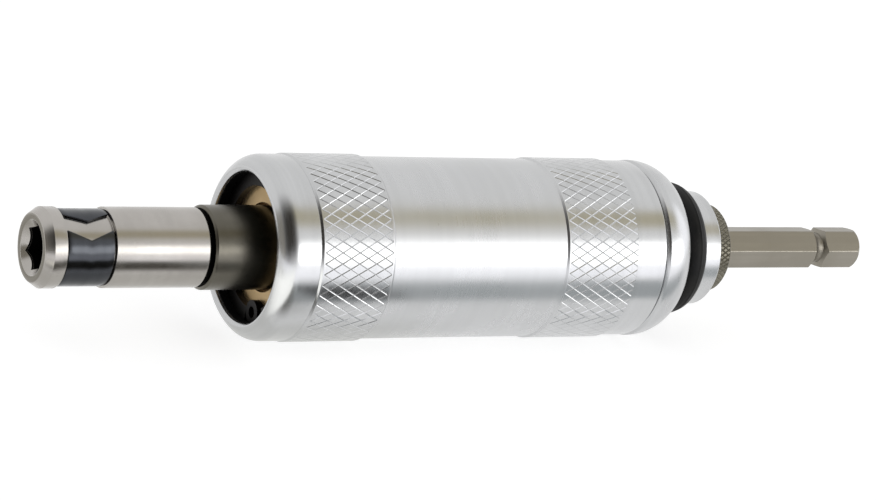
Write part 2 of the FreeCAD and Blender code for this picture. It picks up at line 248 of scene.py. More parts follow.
def break_edges(piece: Piece, width: float, segments: int = 2, angle: float = 35) -> None:
    """Rounds the edges of a piece that are sharper than the angle."""
    modify(
        piece, "BEVEL", width=width * MM, segments=segments,
        limit_method="ANGLE", angle_limit=math.radians(angle), use_clamp_overlap=True,
    )


def smooth(piece: Piece, angle: float = 32) -> None:
    """Shades a piece smooth, except at its sharp edges.

    Args:
        piece: The piece to shade.
        angle: From this angle in degrees on, an edge stays sharp.
    """
    pick(piece)
    bpy.ops.object.shade_smooth_by_angle(angle=math.radians(angle))
    modify(piece, "WEIGHTED_NORMAL", keep_sharp=True, weight=50)


def carve(piece: Piece, cutter: Piece, operation: str = "DIFFERENCE") -> None:
    """Shapes a piece with another closed solid by a boolean, and discards the other."""
    modify(piece, "BOOLEAN", object=cutter, operation=operation, solver="EXACT")
    bpy.data.objects.remove(cutter)


def trim(place: Sequence[float], way: Sequence[float], **settings) -> None:
    """Cuts what is selected off square at a place, and loses what lies that way of it."""
    place = [size * MM for size in place]
    bpy.ops.mesh.bisect(
        plane_co=place, plane_no=way, clear_outer=True, threshold=1e-7, **settings
    )


def joined(pieces: Sequence[Piece]) -> Piece:
    """Joins several meshes into one.

    Args:
        pieces: The meshes.

    Returns:
        The first of them, which now holds them all.
    """
    pick(*pieces)
    bpy.ops.object.join()
    return pieces[0]


def bridge(piece: Piece, low: float, high: float) -> None:
    """Closes the gap between two open loops.

    Args:
        piece: The piece that has the gap.
        low: Where the gap starts along the tool.
        high: Where it ends.
    """

    def in_gap(edge: bmesh.types.BMEdge) -> bool:
        """Says whether an edge is open and lies in the gap."""
        return edge.is_boundary and all(low < vertex.co.x / MM < high for vertex in edge.verts)

    with editing(piece) as mesh:
        bpy.ops.mesh.select_mode(type="EDGE")
        choose(piece, mesh.edges, in_gap)
        bpy.ops.mesh.bridge_edge_loops()
        bpy.ops.mesh.select_mode(type="VERT")


def wrapped(piece: Piece, radius: float, turn: float = 0.0) -> None:
    """Wraps a flat pattern round the tool's axis.

    The pattern lies in the XZ plane: X becomes the way round, Z the way along the tool
    and -Y the way out. A point at X = 0 comes to the -Y side, and +X goes downwards.

    Args:
        piece: The flat pattern.
        radius: The radius on which the plane Y = 0 comes to lie.
        turn: How far the wrapped pattern is then turned upwards, in degrees.
    """
    across = [vertex.co.x for vertex in piece.data.vertices]
    angle = (max(across) - min(across)) / (radius * MM)
    modify(piece, "SIMPLE_DEFORM", deform_method="BEND", deform_axis="Z", angle=angle)
    piece.location = (0, -radius * MM, 0)
    settle(piece)
    piece.rotation_euler = (0, math.pi / 2, 0)
    settle(piece)
    piece.rotation_euler = (-math.radians(turn), 0, 0)
    settle(piece)


def bend(start: Point, end: Point, middle: Point, steps: int = 8) -> Outline:
    """Points along the arc from one point through another to a third.

    Args:
        start: Where the arc starts.
        end: Where it ends.
        middle: The arc's centre.
        steps: How many straight steps stand for it.

    Returns:
        The points after the start, up to and including the end.
    """
    first = math.atan2(start[1] - middle[1], start[0] - middle[0])
    last = math.atan2(end[1] - middle[1], end[0] - middle[0])
    sweep = (last - first + math.pi) % math.tau - math.pi
    radius = math.dist(start, middle)
    return [
        (
            middle[0] + radius * math.cos(first + sweep * k / steps),
            middle[1] + radius * math.sin(first + sweep * k / steps),
        )
        for k in range(1, steps + 1)
    ]


def extent(node: str) -> tuple[float, float, float]:
    """Where a round CAD node lies: its front, its rear and its outer radius."""
    low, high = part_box(node)
    return low.x / MM, high.x / MM, high.z / MM


# ---- knurling -----------------------------------------------------------------------------
@dataclass
class Knurl:
    """A diamond knurl: two families of straight-flanked grooves that cross on a cylinder."""

    radius: float
    front: float
    rear: float
    starts: int = 54
    helix: float = 30.0
    groove_width: float = 0.22
    groove_depth: float = 0.08
    land_steps: int = 2

    def band(self) -> Piece:
        """Models one diamond, repeats it along and around, and wraps it round the tool.

        Returns:
            The band as an open sheet that faces outwards.
        """
        root = self.radius - self.groove_depth
        across = math.tau * root / self.starts
        along = across / math.tan(math.radians(self.helix))
        rows = math.ceil((self.rear - self.front) / along) + 2
        band = self.diamond(across, along)
        self.repeat(band, (across / 2, 0, along / 2), 2)
        self.repeat(band, (0, 0, along), rows)
        self.repeat(band, (across, 0, 0), self.starts)
        with editing(band):
            trim((0, 0, along), (0, 0, -1))
            bpy.ops.mesh.select_all(action="SELECT")
            trim((0, 0, along + self.rear - self.front), (0, 0, 1))
        wrapped(band, root)
        band.location.x = (self.front - along) * MM
        settle(band)
        weld(band)
        return band

    def diamond(self, across: float, along: float) -> Piece:
        """Models one flat-topped diamond with half a groove on each of its four sides.

        Args:
            across: Its width from corner to corner, the way round.
            along: Its length from corner to corner, along the tool.

        Returns:
            The diamond, flat and facing -Y.
        """
        diamond = shaped("plane", "diamond", size=1, rotation=(math.pi / 2, 0, 0))
        to_corner = MM / math.sqrt(2)
        with editing(diamond):
            bpy.ops.transform.rotate(
                value=math.pi / 4, orient_axis="Y", center_override=(0, 0, 0)
            )
            bpy.ops.transform.resize(
                value=(across * to_corner, 1, along * to_corner), center_override=(0, 0, 0)
            )
            bpy.ops.mesh.inset(thickness=self.groove_width / 2 * MM, depth=0)
            bpy.ops.transform.translate(value=(0, -self.groove_depth * MM, 0))
            bpy.ops.mesh.select_all(action="SELECT")
            bpy.ops.mesh.subdivide(number_cuts=self.land_steps)
        return diamond

    def repeat(self, band: Piece, step: Sequence[float], count: int) -> None:
        """Repeats the pattern in equal steps and merges the copies where they meet."""
        modify(
            band, "ARRAY", count=count, use_relative_offset=False, use_constant_offset=True,
            constant_offset_displace=[size * MM for size in step],
            use_merge_vertices=True, merge_threshold=MERGE * MM,
        )


# ---- finishes --------------------------------------------------------------------------------
class Board:
    """A node tree that is wired step by step."""

    def __init__(self, tree: bpy.types.NodeTree) -> None:
        """Starts with an empty tree."""
        self.tree = tree
        tree.nodes.clear()

    def add(self, kind: str, inputs: Optional[dict] = None, **settings) -> Node:
        """Adds a node.

        Args:
            kind: The node's type.
            inputs: Its sockets by name or number, each with a value or an output to link.
            settings: Its other settings.

        Returns:
            The node.
        """
        node = self.tree.nodes.new(kind)
        for key, value in settings.items():
            setattr(node, key, value)
        for key, value in (inputs or {}).items():
            if isinstance(value, Socket):
                self.tree.links.new(value, node.inputs[key])
            else:
                node.inputs[key].default_value = value
        return node

    def math(self, operation: str, *values: Value) -> Socket:
        """Adds one sum and gives its result."""
        node = self.add("ShaderNodeMath", dict(enumerate(values)), operation=operation)
        return node.outputs[0]

    def ramp(
        self, value: Socket, low: float, high: float, start: float = 0.0, end: float = 1.0
    ) -> Socket:
        """Maps a value smoothly from one range to another, and no further."""
        node = self.add(
            "ShaderNodeMapRange",
            {0: value, 1: low, 2: high, 3: start, 4: end},
            interpolation_type="SMOOTHSTEP",
        )
        return node.outputs[0]

    def blend(self, share: Socket, first: Look, second: Look) -> Socket:
        """Mixes two colours.

        Args:
            share: How much of the second one there is.
            first: A colour, or the output that gives it.
            second: Another one.

        Returns:
            The mixed colour.
        """
        colors = [tuple(c) + (1,) if isinstance(c, tuple) else c for c in (first, second)]
        node = self.add(
            "ShaderNodeMix", {0: share, 6: colors[0], 7: colors[1]}, data_type="RGBA"
        )
        return node.outputs[2]

    def group(self, tree: bpy.types.NodeTree, **inputs) -> bpy.types.bpy_prop_collection:
        """Places a shared effect, with its inputs by name, and gives its outputs."""
        return self.add("ShaderNodeGroup", inputs, node_tree=tree).outputs

    def mix(self, share: Socket, first: Node, second: Node) -> Node:
        """Mixes two shaders."""
        return self.add(
            "ShaderNodeMixShader", {0: share, 1: first.outputs[0], 2: second.outputs[0]}
        )

    def give(self, name: str, value: Socket) -> None:
        """Hands a value out of a group under its name."""
        self.tree.links.new(value, self.tree.nodes["result"].inputs[name])

    def finish(self, shader: Node, kind: str = "ShaderNodeOutputMaterial") -> None:
        """Makes a shader the tree's surface."""
        self.add(kind, {"Surface": shader.outputs[0]})


def opened(name: str) -> tuple[bpy.types.Material, Board]:
    """Opens an empty material.

    Args:
        name: Its name.

    Returns:
        The material, and the board that it is wired on.
    """
    material = bpy.data.materials.new(name)
    material.use_nodes = True
    return material, Board(material.node_tree)


class Effects:
    """The shared effects, each built once as a node group."""

    def __init__(self) -> None:
        """Builds every effect."""
        self.tool_marks = self.build_tool_marks()
        self.handling = self.build_handling()
        # the mask of the painted shade in holes
        self.recess = self.build_recess_shade()

    def start(
        self, name: str, inputs: dict[str, float], outputs: Sequence[str]
    ) -> tuple[Board, bpy.types.bpy_prop_collection]:
        """Opens a new group.

        Args:
            name: The group's name.
            inputs: Its float inputs with their first values. A Vector input comes first.
            outputs: The names of its float outputs.

        Returns:
            Its board, and what it is given, by name.
        """
        tree = bpy.data.node_groups.new(name, "ShaderNodeTree")
        tree.interface.new_socket("Vector", in_out="INPUT", socket_type="NodeSocketVector")
        for key, value in inputs.items():
            socket = tree.interface.new_socket(
                key, in_out="INPUT", socket_type="NodeSocketFloat"
            )
            socket.default_value = value
        for key in outputs:
            tree.interface.new_socket(key, in_out="OUTPUT", socket_type="NodeSocketFloat")
        board = Board(tree)
        given = board.add("NodeGroupInput").outputs
        board.add("NodeGroupOutput", name="result")
        return board, given

    def place(self, board: Board, vector: Socket) -> tuple[Socket, Socket, Socket, Socket]:
        """Works out where a point lies.

        Args:
            board: The group's board.
            vector: The point in metres.

        Returns:
            Its three coordinates and its distance from the axis, all in mm.
        """
        scaled = board.add(
            "ShaderNodeVectorMath", {0: vector, 3: 1 / MM}, operation="SCALE"
        )
        apart = board.add("ShaderNodeSeparateXYZ", {0: scaled.outputs[0]})
        x, y, z = apart.outputs
        radius = board.math(
            "SQRT", board.math("ADD", board.math("MULTIPLY", y, y), board.math("MULTIPLY", z, z))
        )
        return x, y, z, radius

    def build_tool_marks(self) -> bpy.types.NodeTree:
        """Lines that a tool leaves: round a turned piece, or along a drawn one.

        Returns:
            The group. Its Height is for a bump, and its Tone is a broad mask.
        """
        board, given = self.start(
            "tool marks", {"Lengthwise": 4.0, "Crosswise": 0.15}, ("Height", "Tone")
        )
        x, y, z, radius = self.place(board, given["Vector"])
        station = board.math("ADD", x, board.math("MULTIPLY", radius, 0.7))
        across = given["Crosswise"]
        spread = board.add(
            "ShaderNodeCombineXYZ",
            {
                0: board.math("MULTIPLY", station, given["Lengthwise"]),
                1: board.math("MULTIPLY", y, across),
                2: board.math("MULTIPLY", z, across),
            },
        )
        fine = board.add(
            "ShaderNodeTexNoise", {"Vector": spread.outputs[0], "Scale": 1.0, "Detail": 3.0}
        )
        broad = board.add(
            "ShaderNodeTexNoise", {"Vector": spread.outputs[0], "Scale": 0.23, "Detail": 2.0}
        )
        board.give("Height", fine.outputs["Fac"])
        board.give("Tone", board.ramp(broad.outputs["Fac"], 0.35, 0.65))
        return board.tree

    def build_handling(self) -> bpy.types.NodeTree:
        """Soft blotches and fine specks that handling leaves.

        Returns:
            The group, with a mask of each.
        """
        board, given = self.start(
            "handling", {"Size": 9.0, "Speck Size": 0.5}, ("Blotches", "Specks")
        )
        blotches = self.noise(board, given["Vector"], given["Size"], 4.0)
        specks = self.noise(board, given["Vector"], given["Speck Size"], 2.0)
        board.give("Blotches", board.ramp(blotches, 0.38, 0.66))
        board.give("Specks", board.ramp(specks, 0.66, 0.76))
        return board.tree

    def noise(self, board: Board, vector: Socket, size: Socket, detail: float) -> Socket:
        """Adds noise of a given grain.

        Args:
            board: The group's board.
            vector: The point in metres.
            size: The size of the noise's features in mm.
            detail: How many finer layers it has.

        Returns:
            The noise, from 0 to 1.
        """
        scale = board.math("DIVIDE", 1 / MM, size)
        node = board.add(
            "ShaderNodeTexNoise", {"Vector": vector, "Scale": scale, "Detail": detail}
        )
        return node.outputs["Fac"]

    def build_recess_shade(self) -> bpy.types.NodeTree:
        """Masks what lies inside a hole behind its bevelled rim, where painted shade goes.

        Returns:
            The group, with the mask of the painted shade.
        """
        board, given = self.start(
            "recess", {"Radius": 10.0, "Rim": 10.0, "Depth": 1.0}, ("Inside",)
        )
        x, _, _, radius = self.place(board, given["Vector"])
        behind = board.math("SUBTRACT", board.math("ADD", x, radius), given["Rim"])
        depth = board.math("DIVIDE", behind, given["Depth"])
        inside = board.math("LESS_THAN", radius, given["Radius"])
        board.give("Inside", board.math("MULTIPLY", board.ramp(depth, 0.0, 1.0), inside))
        return board.tree


class Marks(Enum):
    """Which way the tool marks of a metal run, as lines per mm along and across the tool."""

    AROUND = (3.2, 0.12)
    ALONG = (0.10, 5.0)
    CAST = (1.5, 1.5)


ALUMINIUM = (0.56, 0.565, 0.57)


@dataclass(frozen=True)
class ShadedRecess:
    """A hole whose inside is painted darker than the piece around it: painted shade, where little
    light gets in.
    """

    radius: float
    rim: float
    # the colour of the painted shade inside the hole
    shade: float
    depth: float = 0.6


@cache
def effects() -> Effects:
    """The one set of shared effects."""
    return Effects()


@dataclass(frozen=True)
class Finish:
    """What a piece is finished in."""

    name: str
    slot: str
    color: Color
    tint: Color
    roughness: float

    @cached_property
    def material(self) -> bpy.types.Material:
        """Builds the material at its first use, with its patterns on the piece's coordinates.

        Returns:
            The material.
        """
        material, board = opened(self.name)
        vector = board.add("ShaderNodeTexCoord").outputs["Object"]
        board.finish(board.add("ShaderNodeBsdfPrincipled", self.surface(board, vector)))
        return material

    def surface(self, board: Board, vector: Socket) -> dict:
        """Wires the finish, as each kind of it does in its own way.

        Args:
            board: The material's board.
            vector: The point on the piece.

        Returns:
            The shader's inputs by name.
        """
        raise NotImplementedError


@dataclass(frozen=True)
class Metal(Finish):
    """A metal finish with its tool marks and handling, and painted shade in its recess."""

    marks: Marks = Marks.AROUND
    mark_depth: float = 0.0012
    tone: float = 0.06
    recess: Optional[ShadedRecess] = None
    blotch_roughness: float = 0.05
    mark_roughness: float = 0.08
    recess_roughness: float = 0.5

    def surface(self, board: Board, vector: Socket) -> dict:
        """Wires the metal's tint, marks and blotches, and paints shade into its recess.

        Args:
            board: The material's board.
            vector: The point on the piece.

        Returns:
            The shader's inputs by name.
        """
        lengthwise, crosswise = self.marks.value
        marks = board.group(
            effects().tool_marks, Vector=vector, Lengthwise=lengthwise, Crosswise=crosswise
        )
        blotches = board.group(effects().handling, Vector=vector)["Blotches"]
        color = board.blend(blotches, self.color, self.tint)
        darker = tuple(c * (1 - 2 * self.tone) for c in self.color)
        color = board.blend(board.math("MULTIPLY", marks["Tone"], 0.5), color, darker)
        rough = board.math(
            "MULTIPLY_ADD", blotches, self.blotch_roughness, self.roughness - 0.02
        )
        rough = board.math("MULTIPLY_ADD", marks["Height"], self.mark_roughness, rough)
        # painted shade: the recess is darkened towards the shade colour
        if self.recess:
            inside = board.group(
                effects().recess, Vector=vector, Radius=self.recess.radius,
                Rim=self.recess.rim, Depth=self.recess.depth,
            )["Inside"]
            color = board.blend(inside, color, (self.recess.shade,) * 3)
            rough = board.math("MULTIPLY_ADD", inside, self.recess_roughness, rough)
        bump = board.add(
            "ShaderNodeBump", {"Distance": self.mark_depth * MM, "Height": marks["Height"]}
        )
        return {
            "Base Color": color, "Roughness": rough, "Metallic": 1.0, "Normal": bump.outputs[0]
        }


@dataclass(frozen=True)
class Rubber(Finish):
    """Moulded rubber with a little dust on it, in its tint."""

    blotches: float = 0.25
    specks: float = 0.6
    skin_depth: float = 0.004
    blotch_roughness: float = 0.14

    def surface(self, board: Board, vector: Socket) -> dict:
        """Wires the rubber's skin, its dusty blotches and its specks.

        Args:
            board: The material's board.
            vector: The point on the piece.

        Returns:
            The shader's inputs by name.
        """
        sizes = {"Size": 5.0, "Speck Size": 0.35}
        worn = board.group(effects().handling, Vector=vector, **sizes)
        skin = board.add(
            "ShaderNodeTexNoise", {"Vector": vector, "Scale": 2.5 / MM, "Detail": 3.0}
        )
        dusty = board.math("MULTIPLY", worn["Blotches"], self.blotches)
        color = board.blend(dusty, self.color, self.tint)
        specks = board.math("MULTIPLY", worn["Specks"], self.specks)
        color = board.blend(specks, color, self.tint)
        rough = board.math(
            "MULTIPLY_ADD", worn["Blotches"], self.blotch_roughness, self.roughness
        )
        bump = board.add(
            "ShaderNodeBump", {"Distance": self.skin_depth * MM, "Height": skin.outputs["Fac"]}
        )
        return {
            "Base Color": color, "Roughness": rough, "Specular IOR Level": 0.2,
            "Normal": bump.outputs[0],
        }


# ---- the finishes of this tool --------------------------------------------------------------
@dataclass(frozen=True)
class Finishes:
    """Every finish of the tool."""

    cap: Finish = Metal(
        "satin cap aluminium", "turned_aluminium", ALUMINIUM, (0.53, 0.535, 0.54), 0.22
    )
    # its recess paints shade into the barrel's bore behind the mouth
    burnished: Finish = Metal(
        "burnished aluminium", "turned_aluminium", ALUMINIUM, (0.53, 0.535, 0.54), 0.18,
        mark_depth=0.0009, recess=ShadedRecess(12.4, 47.6, 0.010),
    )
    barrel: Finish = Metal(
        "satin turned aluminium", "turned_aluminium", ALUMINIUM, (0.55, 0.555, 0.56), 0.25,
        mark_depth=0.0005, tone=0.03,
    )
    # its recess paints shade into the hex socket behind the countersink
    holder: Finish = Metal(
        "ground bit holder steel", "ground_steel", (0.445, 0.425, 0.40), (0.40, 0.38, 0.355),
        0.19, recess=ShadedRecess(4.2, 4.45, 0.006, 0.3),
    )
    band: Finish = Metal(
        "blued spring steel", "blued_spring_steel", (0.056, 0.059, 0.066),
        (0.070, 0.074, 0.082), 0.13, mark_depth=0.0006,
    )
    # its recess paints shade onto the relief gap between the holder and the spindle
    spindle: Finish = Metal(
        "dark oxide spindle steel", "darkened_steel", (0.158, 0.148, 0.124),
        (0.122, 0.114, 0.094), 0.27, recess=ShadedRecess(6.15, 33.0, 0.002, 0.2),
    )
    clip: Finish = Metal(
        "black oxide clip steel", "blackened_steel", (0.011, 0.010, 0.010),
        (0.020, 0.019, 0.018), 0.40,
    )
    brass: Finish = Metal(
        "turned washer brass", "brass", (0.56, 0.41, 0.22), (0.48, 0.34, 0.17), 0.34
    )
    bronze: Finish = Metal(
        "turned bush bronze", "bronze", (0.42, 0.29, 0.16), (0.36, 0.24, 0.13), 0.38
    )
    shank: Finish = Metal(
        "drawn shank steel", "shank_steel", (0.295, 0.275, 0.235), (0.265, 0.245, 0.205), 0.34,
        Marks.ALONG,
    )
    lock_ring: Finish = Metal(
        "knurled ring steel", "knurled_steel", (0.20, 0.187, 0.15), (0.155, 0.146, 0.116), 0.36
    )
    hardened: Finish = Metal(
        "hardened clutch steel", "hardened_steel", (0.40, 0.39, 0.38), (0.34, 0.33, 0.32), 0.30
    )
    spring: Finish = Metal(
        "drawn spring wire", "spring_steel", (0.20, 0.19, 0.18), (0.16, 0.15, 0.14), 0.34,
        Marks.CAST,
    )
    balls: Finish = Metal(
        "polished ball steel", "polished_ball_steel", (0.62, 0.62, 0.62), (0.58, 0.58, 0.58),
        0.08, Marks.CAST, 0.0002,
    )
    rubber: Finish = Rubber(
        "moulded black rubber", "black_rubber", (0.009, 0.009, 0.009), (0.050, 0.048, 0.044),
        0.46,
    )

    def dress_inner_works(self) -> None:
        """Gives each CAD node that stays inside the tool its own finish."""
        by_slot = {finish.slot: finish for finish in vars(self).values()}
        slots = {row["node"]: row["material_slot"] for row in frame["record"]["subparts"]}
        for name, node in frame["nodes"].items():
            if not node.hide_render:
                node.data.materials.clear()
                node.data.materials.append(by_slot[slots[name]].material)
                log.info("%s keeps its CAD shape", name)


# ---- sub-assemblies -----------------------------------------------------------------------------
def around(angle: float, radius: float, x: float = 0.0) -> Vector:
    """The point at an angle about the tool's axis, in metres."""
    turn = math.radians(angle)
    return Vector((x, -radius * math.cos(turn), radius * math.sin(turn))) * MM


def rod(start: Vector, way: Vector, length: float, radius: float, sides: int = 48) -> Piece:
    """Adds a closed round bar that runs one way from its start, which is in metres."""
    return shaped(
        "cylinder", "rod", vertices=sides, radius=radius * MM, depth=length * MM,
        location=start + way.normalized() * length / 2 * MM,
        rotation=way.to_track_quat("Z", "Y").to_euler(),
    )


def hex_bar(front: float, rear: float, across_flats: float, turn: float) -> Piece:
    """Adds a closed hexagonal bar on the axis.

    Args:
        front: Where it starts along the tool.
        rear: Where it ends.
        across_flats: Its width across flats.
        turn: The angle at which one of its corners lies.

    Returns:
        The bar.
    """
    piece = rod(ALONG * front * MM, ALONG, rear - front, radius=1.0, sides=6)
    corner = across_flats / math.sqrt(3)
    with editing(piece):
        bpy.ops.transform.resize(value=(1, corner, corner), center_override=(0, 0, 0))
    piece.rotation_euler = (-math.radians(turn - 90), 0, 0)
    settle(piece)
    return piece


def install(piece: Piece, finish: Finish, body: str, *nodes: str) -> None:
    """Gives a piece its place in the frame, and its finish unless it has one already.

    Args:
        piece: The piece, with its place in its mesh.
        finish: What it is finished in.
        body: The body that it moves with, or nothing for a piece between two bodies.
        nodes: The CAD nodes that it stands for.
    """
    if not piece.data.materials:
        piece.data.materials.append(finish.material)
    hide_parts(*nodes)
    if body:
        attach(piece, body)
    log.info("%s: %d faces", piece.name, len(piece.data.polygons))


@dataclass
class Assembly:
    """Pieces that are made together, with the finishes that they are dressed in."""

    finishes: Finishes


@dataclass
class BitEnd(Assembly):
    """The hex bit holder and the spring strip that presses its ball inwards."""

    nose_radius: float = 5.355
    nose_chamfer: float = 1.3
    countersink_radius: float = 4.304
    countersink: float = 1.3
    collar_length: float = 3.4
    groove_rear: float = 11.4
    groove_radius: float = 5.505
    socket_af: float = 6.45
    socket_depth: float = 16.8
    socket_turn: float = 27.0
    holder_edge: float = 0.12
    spigot_front: float = 18.3
    spigot_radius: float = 4.605
    ball_x: float = 7.4
    ball_turn: float = 237.0
    ball_hole_radius: float = 1.38
    joint_turn: float = 61.5
    joint_width: float = 3.3
    joint_point: float = 1.65
    band_thickness: float = 0.40
    band_edge: float = 0.06
    band_steps: int = 44
    band_lift: float = 0.94   # a share of the band's radius

    def build(self) -> None:
        """Makes the holder and its band."""
        install(self.holder(), self.finishes.holder, "spindle", "bit_holder")
        band = self.band()
        install(band, self.finishes.band, "", "retaining_band")
        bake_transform(band)

    def holder(self) -> Piece:
        """Turns the holder, broaches its socket and drills the ball's hole.

        Returns:
            The holder.
        """
        front, rear, radius = extent("bit_holder")
        holder = turned(
            "hex_bit_holder",
            [
                (front + self.countersink, self.countersink_radius - self.countersink),
                (front, self.countersink_radius),
                (front, self.nose_radius),
                (front + self.nose_chamfer, radius),
                (self.collar_length, radius),
                (self.collar_length, self.groove_radius),
                (self.groove_rear, self.groove_radius),
                (self.groove_rear, radius),
                (rear - EDGE, radius),
                (rear, radius - EDGE),
                (rear, self.spigot_radius),
                (self.spigot_front, self.spigot_radius),
            ],
        )
        close_ends(holder)
        break_edges(holder, self.holder_edge)
        socket = hex_bar(front - 1, self.socket_depth, self.socket_af, self.socket_turn)
        carve(holder, socket)
        way = around(self.ball_turn, 1)
        carve(holder, rod(ALONG * self.ball_x * MM, way, radius, self.ball_hole_radius))
        smooth(holder)
        return holder

    def band(self) -> Piece:
        """Cuts the strip with its V-shaped ends, wraps it and gives it its thickness.

        Returns:
            The strip.
        """
        front, rear, radius = extent("retaining_band")
        length = math.tau * radius - self.joint_width
        band = shaped(
            "grid", "spring_band", x_subdivisions=self.band_steps, y_subdivisions=2, size=1,
            rotation=(math.pi / 2, 0, 0),
        )
        with editing(band) as mesh:
            bpy.ops.transform.resize(
                value=(length * MM, 1, (rear - front) * MM), center_override=(0, 0, 0)
            )
            choose(band, mesh.verts, lambda vertex: abs(vertex.co.z) < 0.01 * MM)
            bpy.ops.transform.translate(value=(self.joint_point * MM, 0, 0))
            bpy.ops.mesh.select_all(action="SELECT")
            for _ in range(2):
                bpy.ops.mesh.subdivide(number_cuts=1)
        wrapped(band, radius, self.joint_turn + 180)
        band.location.x = (front + rear) / 2 * MM
        settle(band)
        modify(band, "SOLIDIFY", thickness=self.band_thickness * MM, offset=-1)
        break_edges(band, self.band_edge)
        smooth(band)
        return band


@dataclass
class Spindle(Assembly):
    """The output spindle with the ring of detents in its disc."""

    spigot_radius: float = 4.585
    relief_radius: float = 5.935
    relief_front: float = 27.3
    relief_rear: float = 27.9
    radius: float = 6.625
    disc_front: float = 49.6
    disc_rear: float = 55.4
    tail_radius: float = 4.0
    corner_break: float = 0.06
    detent_radius: float = 2.05
    detent_count: int = 12

    def build(self) -> None:
        """Turns the spindle and mills its detents."""
        front, rear, disc_radius = extent("output_spindle")
        spindle = turned(
            "spindle_shaft",
            [
                (front, self.spigot_radius),
                (self.relief_front, self.spigot_radius),
                (self.relief_front, self.relief_radius),
                (self.relief_rear, self.relief_radius),
                (self.relief_rear, self.radius - EDGE),
                (self.relief_rear + EDGE, self.radius),
                (self.disc_front, self.radius),
                (self.disc_front, disc_radius),
                (self.disc_rear, disc_radius),
                (self.disc_rear, self.tail_radius),
                (rear - EDGE, self.tail_radius),
                (rear, self.tail_radius - EDGE),
            ],
        )
        close_ends(spindle)
        break_edges(spindle, self.corner_break)
        low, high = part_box("clutch_ball_1")
        middle = (low + high) / 2 / MM
        pitch_radius = math.hypot(middle.y, middle.z)
        for k in range(self.detent_count):
            ball = shaped(
                "uv_sphere", "detent", segments=24, ring_count=16,
                radius=self.detent_radius * MM,
                location=around(360 / self.detent_count * k, pitch_radius, middle.x),
            )
            carve(spindle, ball)
        smooth(spindle)
        install(spindle, self.finishes.spindle, "spindle", "output_spindle")


@dataclass
class Barrel(Assembly):
    """The turned barrel with its rounded mouth and its two knurled bands."""

    rim_radius: float = 14.68
    rim_round: float = 3.15
    rim_drop: float = 2.0
    mouth_chamfer: float = 0.4
    bore: float = 11.9
    clip_front: float = 37.68
    clip_rear: float = 38.9
    clip_radius: float = 12.62
    thread_front: float = 95.7
    thread_radius: float = 12.3
    plain_radius: float = 14.5
    tail_radius: float = 14.46
    front_band: Point = (41.8, 54.9)
    rear_band: Point = (86.3, 99.9)
    rear_band_radius: float = 14.74
    band_edge: float = 0.22
    band_land: float = 0.38
    band_step: float = 0.34
    undercut: float = 0.08
    lip_chamfer: float = 0.16
    lip_drop: float = 0.12
    shell_edge: float = 0.06
    gap: float = 0.05
    gap_margin: float = 0.02
    seam: float = 0.45
    keyway_overrun: float = 0.5

    def build(self) -> None:
        """Turns both skins of the barrel, knurls its bands and joins them all."""
        mouth, rear, knurl_radius = extent("barrel")
        front_start, front_end = self.front_band
        rear_start, rear_end = self.rear_band
        front_land = front_start + self.band_step + self.band_land / 2
        round_end = mouth + self.rim_round
        lip = self.rim_radius - self.rim_drop
        round_radius = (self.rim_round**2 + self.rim_drop**2) / (2 * self.rim_drop)
        round_middle = (round_end, self.rim_radius - round_radius)
        shell = turned(
            "knurled_barrel",
            [
                (front_land, knurl_radius),
                (front_start + self.band_step, knurl_radius),
                (front_start, self.rim_radius - self.undercut),
                (front_start - self.undercut, self.rim_radius),
                (round_end, self.rim_radius),
                *bend((round_end, self.rim_radius), (mouth, lip), round_middle, 14),
                (mouth, self.bore + self.mouth_chamfer),
                (mouth + self.mouth_chamfer, self.bore),
                (self.clip_front, self.bore),
                (self.clip_front, self.clip_radius),
                (self.clip_rear, self.clip_radius),
                (self.clip_rear, self.bore),
                (self.thread_front, self.bore),
                (self.thread_front, self.thread_radius),
                (rear, self.thread_radius),
                (rear, self.tail_radius - self.seam),
                (rear - self.seam, self.tail_radius),
                (rear_end, self.tail_radius),
            ],
        )
        rear_land = rear_start + self.band_step + self.band_land / 2
        land = front_end - self.band_edge
        plain = turned(
            "plain_middle",
            [
                (land - self.band_land, knurl_radius),
                (land - self.lip_chamfer, knurl_radius),
                (land, knurl_radius - self.lip_drop),
                (front_end, self.plain_radius),
                (rear_start, self.plain_radius),
                (rear_start + self.band_step, self.rear_band_radius),
                (rear_land, self.rear_band_radius),
            ],
        )
        break_edges(shell, self.shell_edge)
        gaps = (
            (front_land, front_land + self.gap),
            (land - self.band_land - self.gap, land - self.band_land),
            (rear_land, rear_land + self.gap),
            (rear_end - self.band_edge, rear_end),
        )
        bands = [
            Knurl(knurl_radius, gaps[0][1], gaps[1][0]).band(),
            Knurl(self.rear_band_radius, gaps[2][1], gaps[3][0]).band(),
        ]
        for piece in (shell, *bands):
            piece.data.materials.append(self.finishes.burnished.material)
        plain.data.materials.append(self.finishes.barrel.material)
        barrel = joined([shell, plain, *bands])
        for low, high in gaps:
            bridge(barrel, low - self.gap_margin, high + self.gap_margin)
        weld(barrel)
        for number in (1, 2, 3):
            low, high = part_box(f"drive_key_{number}")
            middle = (low + high) / 2
            start = Vector((low.x, middle.y, middle.z))
            radius = (high.z - low.z) / 2 / MM + FIT
            length = self.thread_front + self.keyway_overrun - low.x / MM
            carve(barrel, rod(start, ALONG, length, radius, sides=32))
        smooth(barrel)
        install(barrel, self.finishes.barrel, "housing", "barrel")


